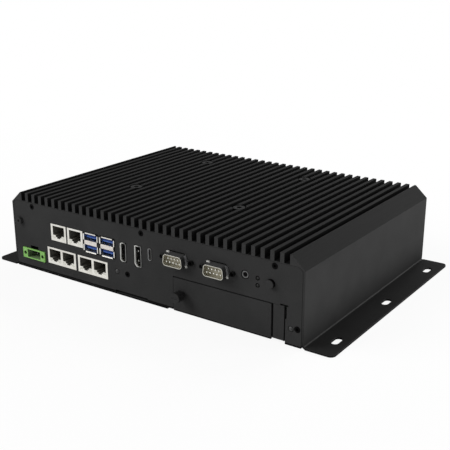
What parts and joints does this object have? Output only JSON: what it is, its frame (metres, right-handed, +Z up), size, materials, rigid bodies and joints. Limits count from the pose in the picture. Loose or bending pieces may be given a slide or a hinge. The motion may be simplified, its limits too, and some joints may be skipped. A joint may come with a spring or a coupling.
{
  "type": "fanless box computer",
  "caption": "Flat fanless box computer with a finned heatsink for a lid, slotted wall-mount flanges along both sides, and a front panel with sockets, a drive tray and a power button.",
  "frame": {"origin": "middle of the case, in the plane that the flanges rest on", "axes": "+X to the right along the front, +Y from the front to the rear, +Z up from the flanges"},
  "size_m": [0.3064, 0.204, 0.062],
  "materials": {
    "black_anodised": "black anodised, matt",
    "black_paint": "fine matt black powder coat",
    "black_screw": "black oxide",
    "plain_steel": "zinc plated",
    "nickel": "bright nickel plate",
    "bare_aluminium": "milled",
    "gold_contact": "gold plate",
    "black_plastic": "moulded, matt",
    "tan_plastic": "moulded, matt",
    "blue_plastic": "moulded, satin",
    "green_plastic": "moulded, satin",
    "lamp_clear": "clear diffused",
    "circuit_board": "solder resist",
    "thermal_pad": "soft filled silicone",
    "drive_case": "satin",
    "tinned": "tin plate"
  },
  "bodies": {
    "case": {"heatsink_cover": "black_anodised", "front_panel": "black_paint", "rear_panel": "black_paint", "left_side_wall": "black_paint", "right_side_wall": "black_paint", "bottom_cover": "black_paint", "drive_cage": "black_paint", "heatsink_screws": "black_screw", "case_screws": "black_screw", "serial_jack_screws": "black_screw", "wall_cleats": "plain_steel", "panel_inserts": "plain_steel", "ground_screw": "plain_steel", "inner_screws": "plain_steel", "standoffs": "plain_steel", "jack_a_shield": "nickel", "jack_b_shield": "nickel", "twin_jack_a_shield": "nickel", "twin_jack_b_shield": "nickel", "data_stack_a_shield": "nickel", "data_stack_b_shield": "nickel", "video_socket_a_shell": "nickel", "video_socket_b_shell": "nickel", "oval_socket_shell": "nickel", "serial_port_a_shell": "nickel", "serial_port_b_shell": "nickel", "heat_block": "bare_aluminium", "network_contacts": "gold_contact", "serial_pins": "gold_contact", "antenna_plugs": "black_plastic", "jack_a_insert": "black_plastic", "jack_b_insert": "black_plastic", "twin_jack_a_insert": "black_plastic", "twin_jack_b_insert": "black_plastic", "video_tongues": "black_plastic", "oval_socket_tongue": "black_plastic", "audio_jack": "black_plastic", "lamp_holder": "black_plastic", "power_switch": "black_plastic", "board_link": "black_plastic", "processor": "black_plastic", "serial_insulators": "tan_plastic", "data_stack_a_tongues": "blue_plastic", "data_stack_b_tongues": "blue_plastic", "power_header": "green_plastic", "network_lamps": "lamp_clear", "status_lamps": "lamp_clear", "main_board": "circuit_board", "lower_board": "circuit_board", "upper_board": "circuit_board", "memory_module": "circuit_board", "drive_riser": "circuit_board", "thermal_pads": "thermal_pad", "power_contacts": "tinned"},
    "drive_tray": {"drive_tray": "black_paint", "storage_drive": "drive_case", "drive_screws": "plain_steel"},
    "thumbscrew": {"tray_thumbscrew": "black_screw"},
    "power_button": {"power_button": "black_plastic"}
  },
  "joints": [
    {"name": "tray_slide", "type": "slide", "parent": "case", "child": "drive_tray", "axis": [0, -1, 0], "range_m": [0, 0.1]},
    {"name": "thumbscrew_turn", "type": "hinge", "parent": "drive_tray", "child": "thumbscrew", "pos_m": [0.036, -0.097, 0.0146], "axis": [0, 1, 0], "continuous": true},
    {"name": "button_press", "type": "slide", "parent": "case", "child": "power_button", "axis": [0, 1, 0], "range_m": [0, 0.001], "stiffness_N_per_m": 1500, "springref_m": -0.0005}
  ]
}
